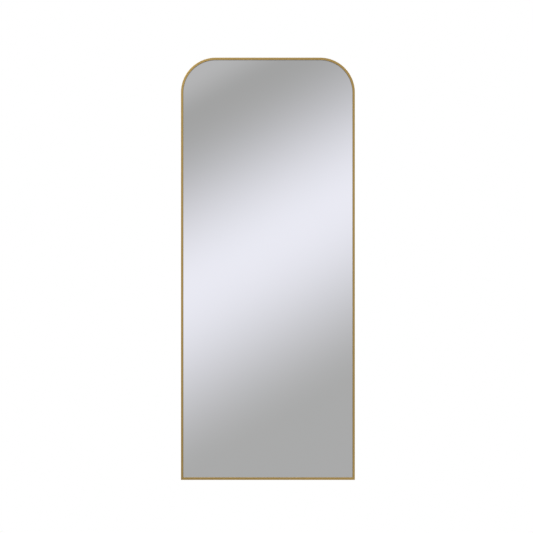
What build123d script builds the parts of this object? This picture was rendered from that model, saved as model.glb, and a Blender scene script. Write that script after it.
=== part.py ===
from build123d import *
import os

# Wall mirror, 700 mm wide and 1700 mm high, in a slim frame of bent aluminium extrusion.
# Millimetres. X runs across the mirror, Y towards the wall and Z up. The wall is the plane Y = 0.
# Z = 0 is the height at which two wall hooks carry the hanger rings, once these are turned up.
# Section sizes are given as inset, inwards from the frame's outer edge, and as depth, the
# distance in front of the wall.

# Frame outline
frame_width = 700.0
frame_height = 1700.0
corner_radius = 140.0
hook_drop = 250.0

# Frame section: a hollow bead in front, a groove for the glass, a hardware channel behind
face_width = 9.0
bead_depth = 5.6
face_wall = 1.5
bead_wall = 1.2
outer_wall = 1.5
channel_floor = 1.4
channel_depth = 3.4
channel_width = 10.4
channel_lip = 1.4
channel_mouth = 6.0
channel_wall = 1.2
front_edge_radius = 0.6
rear_edge_radius = 0.3

# Glass pack, from the front: tape, glass, film, board, then the gap that the springs fill
tape_thickness = 0.8
tape_edge_gap = 0.5
tape_front_gap = 1.0
glass_thickness = 4.0
film_thickness = 0.2
board_thickness = 5.0
spring_gap = 3.2
glass_clearance = 2.5

# Rubber blocks under the pack and pads beside it
block_length = 60.0
block_place = 0.25
pad_length = 40.0
pad_from_arc = 60.0
pad_from_foot = 200.0

# Bowed leaf springs
spring_length = 50.0
spring_width = 8.0
spring_thickness = 0.5
spring_play = 0.1
stile_spring_count = 5
rail_spring_count = 2

# Corner plates, shims and set screws
plate_thickness = 2.0
plate_end_margin = 12.0
shim_thickness = 0.8
channel_play = 0.2
plate_corner_radius = 1.0
set_screw_radius = 2.0
set_screw_play = 0.05
set_screw_places = (24.0, 48.0)
hex_socket_radius = 1.15
hex_socket_depth = 1.5

# Hanger brackets, rings and screws
bracket_thickness = 1.5
bracket_foot_margin = 10.0
bracket_side_margin = 1.1
bracket_rear_set = 0.4
bracket_bend_radius = 1.2
bracket_corner_radius = 6.0
ring_wire_radius = 1.6
ring_width = 20.8
ring_drop = 20.0
ring_bend_radius = 3.0
ring_leaf_gap = 0.4
ring_head_gap = 1.6
knuckle_end_gap = 0.4
knuckle_play = 0.1
knuckle_wall = 1.5
screw_shank_radius = 1.45
screw_length = 6.5
screw_tip_length = 1.5
screw_head_radius = 2.8
screw_head_height = 1.8
screw_head_edge = 0.8
screw_head_gap = 0.3
screw_play = 0.1
screw_drops = (14.0, 34.0)
recess_length = 3.2
recess_width = 0.7
recess_depth = 0.9

# Rubber bumpers between the frame and the wall
bumper_height = 3.0
bumper_radius = 6.0
bumper_edge_radius = 0.6
bumper_from_arc = 30.0
bumper_from_foot = 100.0

# Heights and half widths of the frame
half_width = frame_width / 2
frame_top = hook_drop
frame_foot = frame_top - frame_height
arc_x = half_width - corner_radius
arc_z = frame_top - corner_radius
stile_length = arc_z - frame_foot

# Depths, in front of the wall
lip_back = bumper_height
channel_back = lip_back + channel_lip
floor_back = channel_back + channel_depth
floor_front = floor_back + channel_floor
board_back = floor_front + spring_gap
film_back = board_back + board_thickness
glass_back = film_back + film_thickness
tape_back = glass_back + glass_thickness
bead_back = tape_back + tape_thickness
frame_front = bead_back + bead_depth
pack_thickness = tape_back - board_back

# Insets from the frame's outer edge
channel_end = outer_wall + channel_width
section_end = channel_end + channel_wall
mouth_start = outer_wall + (channel_width - channel_mouth) / 2
mouth_centre = outer_wall + channel_width / 2
glass_inset = outer_wall + glass_clearance
tape_start = glass_inset + tape_edge_gap
tape_end = face_width - tape_front_gap

# The mitre at the left foot runs from the outer corner up and inwards at 45 degrees
left_mitre = Plane(origin=(-half_width, 0, frame_foot), z_dir=(-1, 0, 1))
right_mitre = Plane(origin=(half_width, 0, frame_foot), z_dir=(1, 0, 1))

# The hanger: screws through the channel's inner wall, a leaf clear of their heads, and a ring
# whose straight side turns behind the leaf
channel_middle = (channel_back + floor_back) / 2
leaf_back = channel_middle + screw_head_radius + screw_head_gap
leaf_front = leaf_back + bracket_thickness
ring_outer_half = ring_width / 2 + ring_wire_radius
ring_inset = section_end + bracket_thickness + screw_head_height + ring_head_gap + ring_outer_half
leaf_end = ring_inset + ring_outer_half + bracket_side_margin
ring_axis_depth = leaf_back - ring_leaf_gap - ring_wire_radius
ring_axis_z = ring_wire_radius - ring_drop
screw_spots = [(-channel_middle, ring_axis_z - drop) for drop in screw_drops]

os.makedirs("parts", exist_ok=True)


def save(piece, label):
    """Labels a finished piece and writes its STEP file."""
    piece.part.label = label
    export_step(piece.part, f"parts/{label}.step")


def save_pair(left, label):
    """Writes a left-hand piece and its mirror image on the right."""
    save(left, f"{label}_left")
    with BuildPart() as right:
        mirror(left.part, about=Plane.YZ)
    save(right, f"{label}_right")


def stile_plane(height):
    """Gives a level plane whose x axis runs inwards from the left stile's outer edge."""
    return Plane((-half_width, 0, height), x_dir=(1, 0, 0), z_dir=(0, 0, 1))


def section_bar(start, end, back, front, mode=Mode.ADD):
    """Draws one wall of a section between two insets and two depths."""
    with Locations((start, -front)):
        Rectangle(end - start, front - back, align=Align.MIN, mode=mode)


def frame_outline(inset, mode=Mode.ADD):
    """Draws the frame's outline moved inwards: round corners above, square ones below."""
    side = half_width - inset
    foot = frame_foot + inset
    top = frame_top - inset
    with BuildLine() as boundary:
        Polyline((-side, arc_z), (-side, foot), (side, foot), (side, arc_z))
        CenterArc((arc_x, arc_z), corner_radius - inset, 0, 90)
        Line((arc_x, top), (-arc_x, top))
        CenterArc((-arc_x, arc_z), corner_radius - inset, 90, 90)
    make_face(boundary.edges(), mode=mode)


def sheet(inset, back, thickness):
    """Makes a flat sheet with the frame's outline."""
    with BuildPart() as piece:
        with BuildSketch(Plane.XZ.offset(back)):
            frame_outline(inset)
        extrude(amount=thickness)
    return piece


# The extrusion's section, drawn with its outer wall on the left and the wall side up
bead_hollow_end = face_width - bead_wall
bead_hollow_back = bead_back + bead_wall
bead_hollow_front = frame_front - face_wall
with BuildSketch() as section:
    section_bar(0, outer_wall, lip_back, frame_front)
    section_bar(0, face_width, bead_back, frame_front)
    section_bar(outer_wall, bead_hollow_end, bead_hollow_back, bead_hollow_front, Mode.SUBTRACT)
    section_bar(0, section_end, floor_back, floor_front)
    section_bar(0, mouth_start, lip_back, channel_back)
    section_bar(mouth_start + channel_mouth, section_end, lip_back, channel_back)
    section_bar(channel_end, section_end, lip_back, floor_front)
    fillet(section.vertices().group_by(Axis.Y)[0], radius=front_edge_radius)
    rear_vertices = section.vertices().group_by(Axis.Y)[-1].sort_by(Axis.X)
    fillet([rear_vertices[0], rear_vertices[-1]], radius=rear_edge_radius)

# Frame hoop: stile, round corner and half the top, then its mirror image
with BuildPart() as frame_hoop:
    with BuildSketch(stile_plane(frame_foot)):
        add(section.sketch_local)
    extrude(amount=stile_length)
    with BuildSketch(stile_plane(arc_z)):
        add(section.sketch_local)
    revolve(axis=Axis((-arc_x, 0, arc_z), (0, 1, 0)), revolution_arc=90)
    with BuildSketch(Plane((-arc_x, 0, frame_top), x_dir=(0, 0, -1), z_dir=(1, 0, 0))):
        add(section.sketch_local)
    extrude(amount=arc_x)
    with BuildSketch(Plane.YZ.offset(section_end - half_width)):
        with Locations(*screw_spots):
            Circle(screw_shank_radius + screw_play)
    extrude(amount=-channel_wall, mode=Mode.SUBTRACT)
    split(bisect_by=left_mitre, keep=Keep.TOP)
    mirror(about=Plane.YZ)
save(frame_hoop, "frame_hoop")

# Bottom rail, mitred at both ends
with BuildPart() as frame_bottom_rail:
    with BuildSketch(Plane((half_width, 0, frame_foot), x_dir=(0, 0, 1), z_dir=(-1, 0, 0))):
        add(section.sketch_local)
    extrude(amount=frame_width)
    split(bisect_by=left_mitre, keep=Keep.BOTTOM)
    split(bisect_by=right_mitre, keep=Keep.BOTTOM)
save(frame_bottom_rail, "frame_bottom_rail")

# Glass pack
mirror_glass = sheet(glass_inset, glass_back, glass_thickness)
save(mirror_glass, "mirror_glass")
safety_film = sheet(glass_inset, film_back, film_thickness)
save(safety_film, "safety_film")
backing_board = sheet(glass_inset, board_back, board_thickness)
save(backing_board, "backing_board")

# Glazing tape: one length round the hoop, and one along the rail between its ends
with BuildPart() as glazing_tape_hoop:
    with BuildSketch(Plane.XZ.offset(tape_back)):
        frame_outline(tape_start)
        frame_outline(tape_end, Mode.SUBTRACT)
        with Locations((0, frame_foot)):
            Rectangle(frame_width, tape_end, align=(Align.CENTER, Align.MIN), mode=Mode.SUBTRACT)
    extrude(amount=tape_thickness)
save(glazing_tape_hoop, "glazing_tape_hoop")

with BuildPart() as glazing_tape_rail:
    with BuildSketch(Plane.XZ.offset(tape_back)):
        with Locations((0, frame_foot + tape_start)):
            Rectangle(frame_width - 2 * tape_start, tape_end - tape_start, align=(Align.CENTER, Align.MIN))
    extrude(amount=tape_thickness)
save(glazing_tape_rail, "glazing_tape_rail")

# Setting blocks on the rail, under the glass and the board
with BuildPart() as setting_block:
    with BuildSketch(Plane.XZ.offset(board_back)):
        with Locations((-block_place * frame_width, frame_foot + outer_wall)):
            Rectangle(block_length, glass_clearance, align=(Align.CENTER, Align.MIN))
    extrude(amount=pack_thickness)
save_pair(setting_block, "setting_block")

# Pads between the pack's edge and the stiles
for name, height in (("upper", arc_z - pad_from_arc), ("lower", frame_foot + pad_from_foot)):
    with BuildPart() as side_pad:
        with BuildSketch(Plane.XZ.offset(board_back)):
            with Locations((outer_wall - half_width, height)):
                Rectangle(glass_clearance, pad_length, align=(Align.MIN, Align.CENTER))
        extrude(amount=pack_thickness)
    save_pair(side_pad, f"side_pad_{name}")

# Leaf springs: the bow's crown presses the board and its ends the back of the channel's floor
spring_centre = section_end - spring_width / 2 - rear_edge_radius


def spring(plane):
    """Makes a bowed leaf spring that lies along the plane's x axis, its width along z."""
    half = spring_length / 2
    back_ends = -(floor_front + spring_play)
    front_ends = back_ends - spring_thickness
    front_crown = -(board_back - spring_play)
    back_crown = front_crown + spring_thickness
    with BuildPart() as piece:
        with BuildSketch(plane):
            with BuildLine():
                ThreePointArc((-half, back_ends), (0, back_crown), (half, back_ends))
                Line((half, back_ends), (half, front_ends))
                ThreePointArc((half, front_ends), (0, front_crown), (-half, front_ends))
                Line((-half, front_ends), (-half, back_ends))
            make_face()
        extrude(amount=spring_width / 2, both=True)
    return piece


stile_pitch = stile_length / stile_spring_count
for number in range(1, stile_spring_count + 1):
    height = frame_foot + stile_pitch * (number - 0.5)
    stile_spring = spring(Plane((spring_centre - half_width, 0, height), x_dir=(0, 0, 1), z_dir=(-1, 0, 0)))
    save_pair(stile_spring, f"stile_spring_{number}")

for name, height, straight in (
    ("top", frame_top - spring_centre, 2 * arc_x),
    ("rail", frame_foot + spring_centre, frame_width),
):
    rail_pitch = straight / rail_spring_count
    for number in range(1, rail_spring_count + 1):
        across = rail_pitch * (number - 0.5) - straight / 2
        rail_spring = spring(Plane((across, 0, height), x_dir=(1, 0, 0), z_dir=(0, 0, 1)))
        save(rail_spring, f"{name}_spring_{number}")

# Corner hardware in the channel: a threaded plate against the lips, a shim on the floor,
# and set screws through the plate that spread the two apart
corner_start = outer_wall + channel_play
corner_end = channel_end - channel_play
corner_x = corner_start - half_width
corner_z = frame_foot + corner_start
plate_leg = set_screw_places[-1] + plate_end_margin
set_screw_spots = [(corner_x + place, frame_foot + mouth_centre) for place in set_screw_places]
set_screw_spots += [(mouth_centre - half_width, corner_z + place) for place in set_screw_places]


def corner_outline():
    """Draws the L that follows the channel round the left foot."""
    inner_x = corner_end - half_width
    inner_z = frame_foot + corner_end
    with BuildLine() as boundary:
        Polyline(
            (corner_x, corner_z),
            (corner_x + plate_leg, corner_z),
            (corner_x + plate_leg, inner_z),
            (inner_x, inner_z),
            (inner_x, corner_z + plate_leg),
            (corner_x, corner_z + plate_leg),
            close=True,
        )
    outline = make_face(boundary.edges())
    fillet(outline.vertices().sort_by_distance((corner_x, corner_z))[0], radius=plate_corner_radius)


with BuildPart() as corner_plate:
    with BuildSketch(Plane.XZ.offset(channel_back)):
        corner_outline()
        with Locations(*set_screw_spots):
            Circle(set_screw_radius + set_screw_play, mode=Mode.SUBTRACT)
    extrude(amount=plate_thickness)
save_pair(corner_plate, "corner_plate")

with BuildPart() as corner_shim:
    with BuildSketch(Plane.XZ.offset(floor_back - shim_thickness)):
        corner_outline()
    extrude(amount=shim_thickness)
save_pair(corner_shim, "corner_shim")

with BuildPart() as corner_set_screws:
    with BuildSketch(Plane.XZ.offset(lip_back)):
        with Locations(*set_screw_spots):
            Circle(set_screw_radius)
    extrude(amount=floor_back - shim_thickness - lip_back)
    with BuildSketch(Plane.XZ.offset(lip_back)):
        with Locations(*set_screw_spots):
            RegularPolygon(hex_socket_radius, 6)
    extrude(amount=hex_socket_depth, mode=Mode.SUBTRACT)
    mirror(about=Plane.YZ)
save(corner_set_screws, "corner_set_screws")

# Hanger bracket: an angle screwed to the channel's inner wall. Its broad leaf stands behind the
# board and carries the knuckle on its top edge.
foot_x = section_end - half_width
foot_face_x = foot_x + bracket_thickness
ring_x = ring_inset - half_width
knuckle_bore = ring_wire_radius + knuckle_play
knuckle_length = ring_width - 2 * (ring_bend_radius + knuckle_end_gap)
with BuildPart() as hanger_bracket:
    with BuildSketch(stile_plane(ring_axis_z)) as angle:
        section_bar(section_end, section_end + bracket_thickness, lip_back + bracket_rear_set, leaf_front)
        section_bar(section_end, leaf_end, leaf_back, leaf_front)
        bend = angle.vertices().sort_by_distance((section_end, -leaf_front))[0]
        fillet(bend, radius=bracket_bend_radius)
    extrude(amount=-(screw_drops[-1] + bracket_foot_margin))
    leaf_corners = hanger_bracket.edges().filter_by(Axis.Y).group_by(Axis.X)[-1]
    fillet(leaf_corners, radius=bracket_corner_radius)
    with BuildSketch(Plane.YZ.offset(ring_x - knuckle_length / 2)):
        with Locations((-ring_axis_depth, ring_axis_z)):
            Circle(knuckle_bore + knuckle_wall)
    extrude(amount=knuckle_length)
    with BuildSketch(Plane.YZ.offset(ring_x - knuckle_length / 2)):
        with Locations((-ring_axis_depth, ring_axis_z)):
            Circle(knuckle_bore)
    extrude(amount=knuckle_length, mode=Mode.SUBTRACT)
    with BuildSketch(Plane.YZ.offset(foot_x)):
        with Locations(*screw_spots):
            Circle(screw_shank_radius + screw_play)
    extrude(amount=bracket_thickness, mode=Mode.SUBTRACT)
save_pair(hanger_bracket, "hanger_bracket")

# Hanger ring: a welded D of round wire. Its straight side turns in the knuckle.
leg_end = ring_width / 2 - ring_drop
with BuildPart() as hanger_ring:
    ring_plane = Plane((ring_x, -ring_axis_depth, ring_axis_z), x_dir=(1, 0, 0), z_dir=(0, -1, 0))
    with BuildLine(ring_plane) as ring_path:
        half = ring_width / 2
        FilletPolyline((-half, leg_end), (-half, 0), (half, 0), (half, leg_end), radius=ring_bend_radius)
        ThreePointArc((half, leg_end), (0, -ring_drop), (-half, leg_end))
    with BuildSketch(Plane((ring_x - half, -ring_axis_depth, ring_axis_z + leg_end), z_dir=(0, 0, 1))):
        Circle(ring_wire_radius)
    sweep(path=ring_path.wires()[0])
save_pair(hanger_ring, "hanger_ring")

# Hanger screws: pan heads on the bracket, points in the channel
with BuildPart() as hanger_screws:
    for along, height in screw_spots:
        screw_plane = Plane((foot_face_x, along, height), x_dir=(1, 0, 0), z_dir=(0, -1, 0))
        with BuildSketch(screw_plane):
            with BuildLine():
                Polyline(
                    (-screw_length, 0),
                    (screw_tip_length - screw_length, screw_shank_radius),
                    (0, screw_shank_radius),
                    (0, screw_head_radius),
                    (screw_head_height - screw_head_edge, screw_head_radius),
                    (screw_head_height, screw_head_radius - screw_head_edge),
                    (screw_head_height, 0),
                    close=True,
                )
            make_face()
        revolve(axis=Axis(screw_plane.origin, (1, 0, 0)))
    with BuildSketch(Plane.YZ.offset(foot_face_x + screw_head_height)):
        with Locations(*screw_spots):
            Rectangle(recess_length, recess_width)
            Rectangle(recess_width, recess_length)
    extrude(amount=-recess_depth, mode=Mode.SUBTRACT)
    mirror(about=Plane.YZ)
save(hanger_screws, "hanger_screws")

# Wall bumpers, stuck over the channel's mouth
for name, height in (("upper", arc_z - bumper_from_arc), ("lower", frame_foot + bumper_from_foot)):
    with BuildPart() as wall_bumper:
        with BuildSketch(Plane.XZ):
            with Locations((mouth_centre - half_width, height)):
                Circle(bumper_radius)
        extrude(amount=bumper_height)
        fillet(wall_bumper.edges().group_by(Axis.Y)[-1], radius=bumper_edge_radius)
    save_pair(wall_bumper, f"wall_bumper_{name}")
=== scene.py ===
"""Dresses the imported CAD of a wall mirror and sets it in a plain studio.

The mirror is 700 mm wide and 1700 mm high, with round upper corners, square lower ones and a slim
frame of satin gold aluminium. Blender works in metres in the CAD's own frame: X runs across the
mirror, Y towards the wall, Z up, and the wall is the plane Y = 0. Names that end in _mm are
millimetres.
"""

import logging
import math
from collections.abc import Callable, Iterator
from contextlib import contextmanager
from dataclasses import dataclass, field
from enum import Enum
from typing import Any

import bmesh
import bpy
from mathutils import Matrix, Vector


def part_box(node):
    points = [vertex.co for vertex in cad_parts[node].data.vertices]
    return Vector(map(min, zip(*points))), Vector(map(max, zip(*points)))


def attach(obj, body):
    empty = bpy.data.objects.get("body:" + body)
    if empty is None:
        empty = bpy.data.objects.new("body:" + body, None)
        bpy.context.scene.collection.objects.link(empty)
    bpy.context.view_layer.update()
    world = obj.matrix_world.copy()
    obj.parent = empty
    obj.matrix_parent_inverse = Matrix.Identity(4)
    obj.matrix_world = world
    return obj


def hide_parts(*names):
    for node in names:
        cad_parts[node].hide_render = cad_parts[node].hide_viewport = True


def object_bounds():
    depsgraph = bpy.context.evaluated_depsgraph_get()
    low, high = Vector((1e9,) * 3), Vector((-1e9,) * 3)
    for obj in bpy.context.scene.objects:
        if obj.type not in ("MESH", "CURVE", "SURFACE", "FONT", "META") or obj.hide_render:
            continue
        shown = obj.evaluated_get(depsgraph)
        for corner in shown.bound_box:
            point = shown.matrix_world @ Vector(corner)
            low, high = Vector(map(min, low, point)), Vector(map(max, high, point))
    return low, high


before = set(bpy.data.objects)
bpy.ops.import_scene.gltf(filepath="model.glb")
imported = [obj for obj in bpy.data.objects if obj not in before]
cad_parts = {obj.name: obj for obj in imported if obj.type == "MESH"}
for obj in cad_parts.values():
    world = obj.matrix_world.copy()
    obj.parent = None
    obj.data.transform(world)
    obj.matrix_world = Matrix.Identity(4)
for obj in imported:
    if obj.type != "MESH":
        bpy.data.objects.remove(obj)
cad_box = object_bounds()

log = logging.getLogger("wall_mirror")

Piece = bpy.types.Object
Material = bpy.types.Material
Socket = bpy.types.NodeSocket
Span = tuple[float, float]
Triple = tuple[float, float, float]
Seat = tuple[Triple, Matrix, float]
Test = Callable[[Any], bool]

MM = 0.001
HALF_WIDTH_MM = 350.0
FOOT_MM = -1450.0
ARC_CENTRE_MM = (210.0, 110.0)
CHANNEL_MIDDLE_MM = -6.1
HANGER_SCREW_HEIGHTS_MM = (-32.4, -52.4)
SIDES = ("left", "right")
WHITE = "#FFFFFF"
WELD_MM = 1e-3  # points of the section this close are one
NEAR = 1e-4  # two places this close are the same, in metres or in millimetres
SQUARE_ON = 0.99  # least part of a face's normal along an axis for a face that looks that way
MODES = {
    "Math": "operation",
    "VectorMath": "operation",
    "Mix": "data_type",
    "MapRange": "interpolation_type",
    "TexNoise": "noise_dimensions",
}


def linear(code: str) -> tuple[float, float, float, float]:
    """Turns an sRGB colour into the linear values that Blender's sockets take.

    Args:
        code: The colour as six hex digits after a hash sign.

    Returns:
        Linear red, green, blue and a full alpha.
    """
    parts = [int(code[i : i + 2], 16) / 255 for i in (1, 3, 5)]
    red, green, blue = (p / 12.92 if p <= 0.04045 else ((p + 0.055) / 1.055) ** 2.4 for p in parts)
    return red, green, blue, 1.0


def add_node(tree: bpy.types.NodeTree, kind: str, inputs: dict[str | int, Any]) -> bpy.types.Node:
    """Adds one node to a tree.

    Args:
        tree: The tree that gets the node.
        kind: The node's type name, less its ShaderNode prefix, with its mode after a dot.
        inputs: What goes in, by input name or number: sockets, numbers and hex colours. The
            name stops takes the places and colours of a ramp that eases between them.

    Returns:
        The new node.
    """
    kind, _, mode = kind.partition(".")
    node = tree.nodes.new("ShaderNode" + kind)
    if mode:
        setattr(node, MODES[kind], mode)
    for key, value in inputs.items():
        if key == "stops":
            ramp = node.color_ramp
            ramp.interpolation = "EASE"
            while len(ramp.elements) < len(value):
                ramp.elements.new(1.0)
            for element, (place, colour) in zip(ramp.elements, value, strict=True):
                element.position, element.color = place, colour
        elif isinstance(value, Socket):
            tree.links.new(value, node.inputs[key])
        else:
            node.inputs[key].default_value = linear(value) if isinstance(value, str) else value
    return node


@dataclass
class Canvas:
    """The node tree of a new material, or of the world.

    A finish's canvas also has a surface, and the object's own places in millimetres.
    """

    holder: Material | bpy.types.World
    tree: bpy.types.NodeTree = field(init=False)
    surface: bpy.types.Node = field(init=False)
    mm: Socket = field(init=False)

    def __post_init__(self) -> None:
        """Starts with an empty tree."""
        self.holder.use_nodes = True
        self.tree = self.holder.node_tree
        self.tree.nodes.clear()

    @classmethod
    def open(cls, name: str, **surface: float) -> "Canvas":
        """Starts a finish's material.

        Args:
            name: The material's name.
            **surface: Plain values of the surface's sockets.

        Returns:
            The canvas on which the finish draws its patterns.
        """
        canvas = cls(bpy.data.materials.new(name))
        canvas.surface = add_node(canvas.tree, "BsdfPrincipled", surface)
        canvas.close(canvas.surface.outputs["BSDF"])
        place = add_node(canvas.tree, "TexCoord", {}).outputs["Object"]
        canvas.mm = canvas.add("VectorMath.SCALE", {0: place, "Scale": 1 / MM})
        return canvas

    def add(self, kind: str, inputs: dict[str | int, Any]) -> Socket:
        """Adds a node to this tree and gives its first output that carries a value."""
        node = add_node(self.tree, kind, inputs)
        return next(socket for socket in node.outputs if socket.enabled)

    def close(self, shader: Socket) -> None:
        """Makes a shader the tree's result."""
        kind = "OutputWorld" if isinstance(self.holder, bpy.types.World) else "OutputMaterial"
        add_node(self.tree, kind, {"Surface": shader})

    def coat(
        self, colour: Socket, gloss: Socket, relief: Socket, roughness: Span, bump: Span
    ) -> Material:
        """Gives the surface its colour, its roughness and its relief, each from a pattern.

        Args:
            colour: Pattern of the colour.
            gloss: Pattern of the roughness.
            relief: Pattern of the relief.
            roughness: The roughness where its pattern is 0 and where it is 1.
            bump: The relief's strength, and its height in millimetres.

        Returns:
            The finished material.
        """
        (low, high), (strength, height_mm) = roughness, bump
        raised = {"Strength": strength, "Distance": height_mm * MM, "Height": relief}
        for name, socket in (
            ("Base Color", colour),
            ("Roughness", self.add("MapRange", {"Value": gloss, "To Min": low, "To Max": high})),
            ("Normal", self.add("Bump", raised)),
        ):
            self.tree.links.new(socket, self.surface.inputs[name])
        return self.holder


class Run(Enum):
    """Which way a length of the frame's extrusion runs."""

    HOOP = "hoop"
    RAIL = "rail"


@dataclass(frozen=True)
class AnodisedAluminium:
    """Aluminium extrusion, fine brushed along its length, then anodised and dyed gold.

    Brushing under the clear oxide gives a satin metal with soft highlights that are drawn out
    along the frame. The dye takes a little unevenly, which shows as a slow drift in tone.
    """

    run: Run
    deep: str = "#B29655"
    pale: str = "#B89C5F"
    joint: str = "#5A4626"
    # painted shade: a darker colour for the hoop's inner wall, standing for shade under the lip
    painted_shade: str = "#5A4828"
    grain_mm: float = 0.6  # real brush lines are 0.1 mm apart, too fine to show
    grain_length_mm: float = 45.0
    grain_share: float = 0.6
    drift_mm: float = 240.0
    roughness: Span = (0.33, 0.40)
    bump: Span = (0.2, 0.006)
    joint_mm: float = 0.3  # a real mitre shows about 0.1 mm of shadow
    joint_core: float = 0.4
    arc_mid_radius_mm: float = 135.0
    wall_shade_fade_mm: Span = (131.25, 131.02)
    bead_back_mm: float = -21.0

    def material(self) -> Material:
        """Makes the material, with its brush lines along this run of the frame.

        Returns:
            The material.
        """
        canvas = Canvas.open(f"anodised_aluminium_brushed_gold_{self.run.value}", Metallic=1.0)
        axes = add_node(canvas.tree, "SeparateXYZ", {0: canvas.mm}).outputs
        across = canvas.add("Math.ABSOLUTE", {0: axes["X"]})
        along, offset = axes["X"], axes["Z"]
        if self.run is Run.HOOP:
            along, offset = self.round_the_hoop(canvas, across, axes["Z"])
        shrunk = {
            "X": canvas.add("Math.DIVIDE", {0: along, 1: self.grain_length_mm}),
            "Y": canvas.add("Math.DIVIDE", {0: offset, 1: self.grain_mm}),
            "Z": canvas.add("Math.DIVIDE", {0: axes["Y"], 1: self.grain_mm}),
        }
        lines = canvas.add("CombineXYZ", shrunk)
        grain = canvas.add(
            "TexNoise", {"Vector": lines, "Scale": 1.0, "Detail": 3.0, "Roughness": 0.6}
        )
        slow = canvas.add("Math.DIVIDE", {0: along, 1: self.drift_mm})
        drift = canvas.add("TexNoise.1D", {"W": slow, "Scale": 1.0, "Detail": 1.0})
        tone = canvas.add("Mix", {"Factor": self.grain_share, 2: drift, 3: grain})
        tone = canvas.add("MapRange", {"Value": tone, "From Min": 0.3, "From Max": 0.7})
        gold = canvas.add("Mix.RGBA", {0: tone, 6: self.deep, 7: self.pale})
        if self.run is Run.HOOP:
            # painted shade: the hoop's inner wall under the lip is darkened to stand for shade
            wall = self.painted_wall_shade(canvas, offset, axes["Y"])
            gold = canvas.add("Mix.RGBA", {0: wall, 6: gold, 7: self.painted_shade})
        mitre = self.mitre_line(canvas, across, axes["Z"])
        gold = canvas.add("Mix.RGBA", {0: mitre, 6: gold, 7: self.joint})
        return canvas.coat(gold, grain, grain, self.roughness, self.bump)

    def round_the_hoop(
        self, canvas: Canvas, across: Socket, height: Socket
    ) -> tuple[Socket, Socket]:
        """Follows the hoop: up the stile, round the corner and along the top.

        Args:
            canvas: The material's canvas.
            across: Distance from the mirror's middle line.
            height: Height above the hooks.

        Returns:
            The way along the extrusion, and the distance from the corner's centre line.
        """
        past, above = (
            canvas.add("Math.SUBTRACT", {0: value, 1: centre})
            for value, centre in zip((across, height), ARC_CENTRE_MM, strict=True)
        )
        out, up = (canvas.add("Math.MAXIMUM", {0: value, 1: 0.0}) for value in (past, above))
        stile, top = (canvas.add("Math.MINIMUM", {0: value, 1: 0.0}) for value in (above, past))
        angle = canvas.add("Math.ARCTAN2", {0: up, 1: out})
        swept = canvas.add("Math.MULTIPLY_ADD", {0: angle, 1: self.arc_mid_radius_mm, 2: stile})
        along = canvas.add("Math.SUBTRACT", {0: swept, 1: top})
        corner = canvas.add("CombineXYZ", {"X": out, "Y": up})
        return along, canvas.add("VectorMath.LENGTH", {0: corner})

    def painted_wall_shade(self, canvas: Canvas, radius: Socket, depth: Socket) -> Socket:
        """Finds the hoop's inner wall under the lip, where a darker colour is painted as shade.

        Args:
            canvas: The material's canvas.
            radius: Distance from the corner's centre line.
            depth: Place through the frame, below 0 in front of the wall.

        Returns:
            1 on that wall and 0 elsewhere.
        """
        start, end = self.wall_shade_fade_mm
        inner = canvas.add("MapRange", {"Value": radius, "From Min": start, "From Max": end})
        front = canvas.add("Math.LESS_THAN", {0: depth, 1: self.bead_back_mm})
        return canvas.add("Math.MULTIPLY", {0: inner, 1: front})

    def mitre_line(self, canvas: Canvas, across: Socket, height: Socket) -> Socket:
        """Finds the hairline of the mitre at each foot, where hoop and rail meet at 45 degrees.

        Args:
            canvas: The material's canvas.
            across: Distance from the mirror's middle line.
            height: Height above the hooks.

        Returns:
            1 on the hairline and 0 elsewhere.
        """
        side = canvas.add("Math.SUBTRACT", {0: HALF_WIDTH_MM, 1: across})
        rise = canvas.add("Math.SUBTRACT", {0: height, 1: FOOT_MM})
        gap = canvas.add("Math.SUBTRACT", {0: side, 1: rise})
        gap = canvas.add("Math.ABSOLUTE", {0: gap})
        edge = self.joint_mm * math.sqrt(2) / 2
        fall = {"From Min": edge * self.joint_core, "From Max": edge, "To Min": 1.0, "To Max": 0.0}
        return canvas.add("MapRange", {"Value": gap, **fall})


@dataclass(frozen=True)
class SilveredGlass:
    """Clear float glass, silvered on its back.

    It gives a sharp, nearly colourless image. The iron in the glass takes a little red and blue
    out, unevenly by less than the eye can place.
    """

    clear: str = "#F0F2F0"
    tinted: str = "#EEF1EF"
    drift_mm: float = 260.0

    def material(self) -> Material:
        """Makes the material of the pane's front.

        Returns:
            The material.
        """
        canvas = Canvas.open("float_glass_silvered", Metallic=1.0, Roughness=0.0)
        drift = canvas.add(
            "TexNoise", {"Vector": canvas.mm, "Scale": 1 / self.drift_mm, "Detail": 1.0}
        )
        tint = canvas.add("Mix.RGBA", {0: drift, 6: self.clear, 7: self.tinted})
        canvas.tree.links.new(tint, canvas.surface.inputs["Base Color"])
        return canvas.holder


@dataclass(frozen=True)
class GroundGlass:
    """The edge of float glass, arrissed on a wet diamond belt, which leaves a frosted green."""

    light: str = "#B7CDC2"
    dark: str = "#93B3A5"
    grit_mm: float = 0.5  # real grit marks are 0.1 mm, too fine to show
    roughness: Span = (0.35, 0.6)
    bump: Span = (0.4, 0.05)

    def material(self) -> Material:
        """Makes the material of the pane's edge.

        Returns:
            The material.
        """
        canvas = Canvas.open("float_glass_ground_edge", IOR=1.52)
        grit = canvas.add(
            "TexNoise", {"Vector": canvas.mm, "Scale": 1 / self.grit_mm, "Detail": 3.0}
        )
        colour = canvas.add("Mix.RGBA", {0: grit, 6: self.dark, 7: self.light})
        return canvas.coat(colour, grit, grit, self.roughness, self.bump)


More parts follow.
